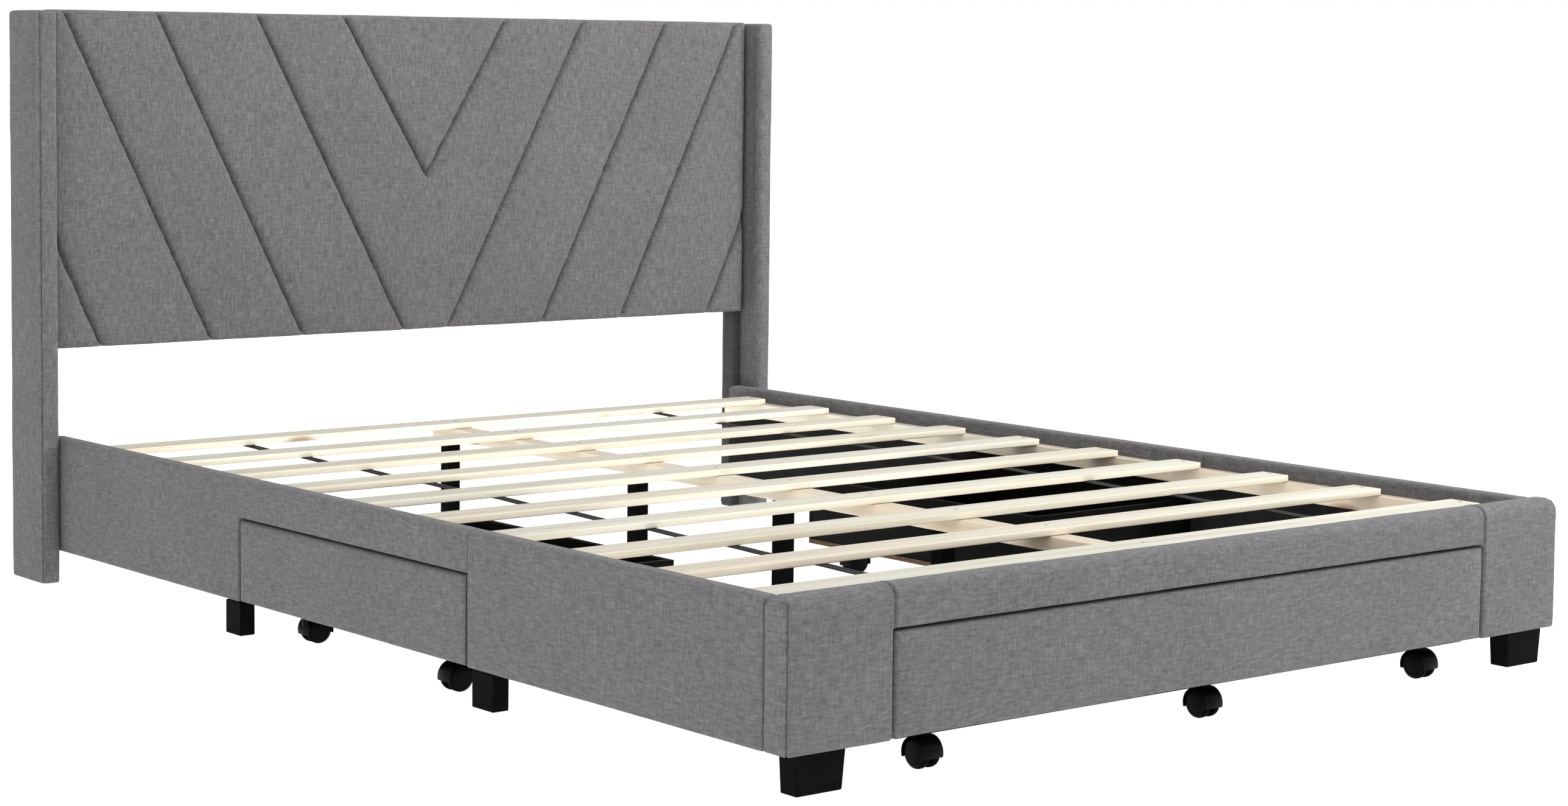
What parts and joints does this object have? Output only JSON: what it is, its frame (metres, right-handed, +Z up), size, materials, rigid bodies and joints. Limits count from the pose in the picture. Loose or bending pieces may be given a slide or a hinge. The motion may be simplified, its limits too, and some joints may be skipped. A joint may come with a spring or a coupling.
{
  "type": "platform bed with storage drawers",
  "caption": "Low upholstered platform bed with a winged headboard, a slatted deck and rolling storage drawers in its sides and foot.",
  "frame": {"origin": "on the floor under the middle of the bed's overall length and width", "axes": "+X towards the bed's right side as seen from the foot, +Y towards the headboard, +Z up"},
  "size_m": [1.71, 2.194, 1.045],
  "materials": {
    "grey_upholstery": "matte woven grey linen-look polyester",
    "black_lining": "matte black non-woven cloth over board",
    "pine": "planed unfinished pine",
    "black_webbing": "matte woven tape",
    "black_foot": "satin black moulded",
    "black_leg": "satin black stained",
    "drawer_board": "black-faced fibreboard with raw brown edges",
    "black_plastic": "glossy black moulded"
  },
  "bodies": {
    "frame": {"headboard_panel": "grey_upholstery", "headboard_wing_left": "grey_upholstery", "headboard_wing_right": "grey_upholstery", "headboard_frame": "black_lining", "side_rail_left_foot": "grey_upholstery", "side_rail_left_head": "grey_upholstery", "ledger_left": "pine", "slat_strap_left": "black_webbing", "foot_leg_left": "black_foot", "middle_leg_left": "black_foot", "head_leg_left": "black_foot", "side_rail_right_foot": "grey_upholstery", "side_rail_right_head": "grey_upholstery", "ledger_right": "pine", "slat_strap_right": "black_webbing", "foot_leg_right": "black_foot", "middle_leg_right": "black_foot", "head_leg_right": "black_foot", "footboard": "grey_upholstery", "centre_beam": "pine", "centre_leg_1": "black_leg", "centre_leg_2": "black_leg", "centre_leg_3": "black_leg", "centre_leg_4": "black_leg", "slat_01": "pine", "slat_02": "pine", "slat_03": "pine", "slat_04": "pine", "slat_05": "pine", "slat_06": "pine", "slat_07": "pine", "slat_08": "pine", "slat_09": "pine", "slat_10": "pine"},
    "foot_drawer": {"foot_drawer_front": "grey_upholstery", "foot_drawer_box": "drawer_board"},
    "foot_drawer_caster_1_swivel": {"foot_drawer_caster_1_housing": "black_plastic"},
    "foot_drawer_caster_1_wheels": {"foot_drawer_caster_1_wheels": "black_plastic"},
    "foot_drawer_caster_2_swivel": {"foot_drawer_caster_2_housing": "black_plastic"},
    "foot_drawer_caster_2_wheels": {"foot_drawer_caster_2_wheels": "black_plastic"},
    "foot_drawer_caster_3_swivel": {"foot_drawer_caster_3_housing": "black_plastic"},
    "foot_drawer_caster_3_wheels": {"foot_drawer_caster_3_wheels": "black_plastic"},
    "foot_drawer_caster_4_swivel": {"foot_drawer_caster_4": "black_plastic"},
    "foot_drawer_caster_5_swivel": {"foot_drawer_caster_5": "black_plastic"},
    "left_drawer": {"left_drawer_front": "grey_upholstery", "left_drawer_box": "drawer_board"},
    "left_drawer_caster_1_swivel": {"left_drawer_caster_1_housing": "black_plastic"},
    "left_drawer_caster_1_wheels": {"left_drawer_caster_1_wheels": "black_plastic"},
    "left_drawer_caster_2_swivel": {"left_drawer_caster_2_housing": "black_plastic"},
    "left_drawer_caster_2_wheels": {"left_drawer_caster_2_wheels": "black_plastic"},
    "left_drawer_caster_3_swivel": {"left_drawer_caster_3": "black_plastic"},
    "left_drawer_caster_4_swivel": {"left_drawer_caster_4": "black_plastic"},
    "right_drawer": {"right_drawer_front": "grey_upholstery", "right_drawer_box": "drawer_board"},
    "right_drawer_caster_1_swivel": {"right_drawer_caster_1_housing": "black_plastic"},
    "right_drawer_caster_1_wheels": {"right_drawer_caster_1_wheels": "black_plastic"},
    "right_drawer_caster_2_swivel": {"right_drawer_caster_2_housing": "black_plastic"},
    "right_drawer_caster_2_wheels": {"right_drawer_caster_2_wheels": "black_plastic"},
    "right_drawer_caster_3_swivel": {"right_drawer_caster_3": "black_plastic"},
    "right_drawer_caster_4_swivel": {"right_drawer_caster_4": "black_plastic"}
  },
  "joints": [
    {"name": "foot_drawer_slide", "type": "slide", "parent": "frame", "child": "foot_drawer", "axis": [0, -1, 0], "range_m": [0, 0.4]},
    {"name": "foot_drawer_caster_1_swivel", "type": "hinge", "parent": "foot_drawer", "child": "foot_drawer_caster_1_swivel", "pos_m": [-0.537, -1.041, 0.045], "axis": [0, 0, 1], "continuous": true},
    {"name": "foot_drawer_caster_1_roll", "type": "hinge", "parent": "foot_drawer_caster_1_swivel", "child": "foot_drawer_caster_1_wheels", "pos_m": [-0.537, -1.055, 0.022], "axis": [1, 0, 0], "continuous": true},
    {"name": "foot_drawer_caster_2_swivel", "type": "hinge", "parent": "foot_drawer", "child": "foot_drawer_caster_2_swivel", "pos_m": [0.025, -1.041, 0.045], "axis": [0, 0, 1], "continuous": true},
    {"name": "foot_drawer_caster_2_roll", "type": "hinge", "parent": "foot_drawer_caster_2_swivel", "child": "foot_drawer_caster_2_wheels", "pos_m": [0.025, -1.055, 0.022], "axis": [1, 0, 0], "continuous": true},
    {"name": "foot_drawer_caster_3_swivel", "type": "hinge", "parent": "foot_drawer", "child": "foot_drawer_caster_3_swivel", "pos_m": [0.526, -1.041, 0.045], "axis": [0, 0, 1], "continuous": true},
    {"name": "foot_drawer_caster_3_roll", "type": "hinge", "parent": "foot_drawer_caster_3_swivel", "child": "foot_drawer_caster_3_wheels", "pos_m": [0.526, -1.055, 0.022], "axis": [1, 0, 0], "continuous": true},
    {"name": "foot_drawer_caster_4_swivel", "type": "hinge", "parent": "foot_drawer", "child": "foot_drawer_caster_4_swivel", "pos_m": [-0.53, -0.717, 0.045], "axis": [0, 0, 1], "continuous": true},
    {"name": "foot_drawer_caster_5_swivel", "type": "hinge", "parent": "foot_drawer", "child": "foot_drawer_caster_5_swivel", "pos_m": [0.53, -0.717, 0.045], "axis": [0, 0, 1], "continuous": true},
    {"name": "left_drawer_slide", "type": "slide", "parent": "frame", "child": "left_drawer", "axis": [-1, 0, 0], "range_m": [0, 0.38]},
    {"name": "left_drawer_caster_1_swivel", "type": "hinge", "parent": "left_drawer", "child": "left_drawer_caster_1_swivel", "pos_m": [-0.7534, 0.209, 0.045], "axis": [0, 0, 1], "continuous": true},
    {"name": "left_drawer_caster_1_roll", "type": "hinge", "parent": "left_drawer_caster_1_swivel", "child": "left_drawer_caster_1_wheels", "pos_m": [-0.7394, 0.209, 0.022], "axis": [0, 1, 0], "continuous": true},
    {"name": "left_drawer_caster_2_swivel", "type": "hinge", "parent": "left_drawer", "child": "left_drawer_caster_2_swivel", "pos_m": [-0.7534, -0.252, 0.045], "axis": [0, 0, 1], "continuous": true},
    {"name": "left_drawer_caster_2_roll", "type": "hinge", "parent": "left_drawer_caster_2_swivel", "child": "left_drawer_caster_2_wheels", "pos_m": [-0.7674, -0.252, 0.022], "axis": [0, 1, 0], "continuous": true},
    {"name": "left_drawer_caster_3_swivel", "type": "hinge", "parent": "left_drawer", "child": "left_drawer_caster_3_swivel", "pos_m": [-0.436, 0.2195, 0.045], "axis": [0, 0, 1], "continuous": true},
    {"name": "left_drawer_caster_4_swivel", "type": "hinge", "parent": "left_drawer", "child": "left_drawer_caster_4_swivel", "pos_m": [-0.436, -0.2405, 0.045], "axis": [0, 0, 1], "continuous": true},
    {"name": "right_drawer_slide", "type": "slide", "parent": "frame", "child": "right_drawer", "axis": [1, 0, 0], "range_m": [0, 0.38]},
    {"name": "right_drawer_caster_1_swivel", "type": "hinge", "parent": "right_drawer", "child": "right_drawer_caster_1_swivel", "pos_m": [0.7534, -0.23, 0.045], "axis": [0, 0, 1], "continuous": true},
    {"name": "right_drawer_caster_1_roll", "type": "hinge", "parent": "right_drawer_caster_1_swivel", "child": "right_drawer_caster_1_wheels", "pos_m": [0.7394, -0.23, 0.022], "axis": [0, 1, 0], "continuous": true},
    {"name": "right_drawer_caster_2_swivel", "type": "hinge", "parent": "right_drawer", "child": "right_drawer_caster_2_swivel", "pos_m": [0.7534, 0.231, 0.045], "axis": [0, 0, 1], "continuous": true},
    {"name": "right_drawer_caster_2_roll", "type": "hinge", "parent": "right_drawer_caster_2_swivel", "child": "right_drawer_caster_2_wheels", "pos_m": [0.7674, 0.231, 0.022], "axis": [0, 1, 0], "continuous": true},
    {"name": "right_drawer_caster_3_swivel", "type": "hinge", "parent": "right_drawer", "child": "right_drawer_caster_3_swivel", "pos_m": [0.436, -0.2405, 0.045], "axis": [0, 0, 1], "continuous": true},
    {"name": "right_drawer_caster_4_swivel", "type": "hinge", "parent": "right_drawer", "child": "right_drawer_caster_4_swivel", "pos_m": [0.436, 0.2195, 0.045], "axis": [0, 0, 1], "continuous": true}
  ]
}
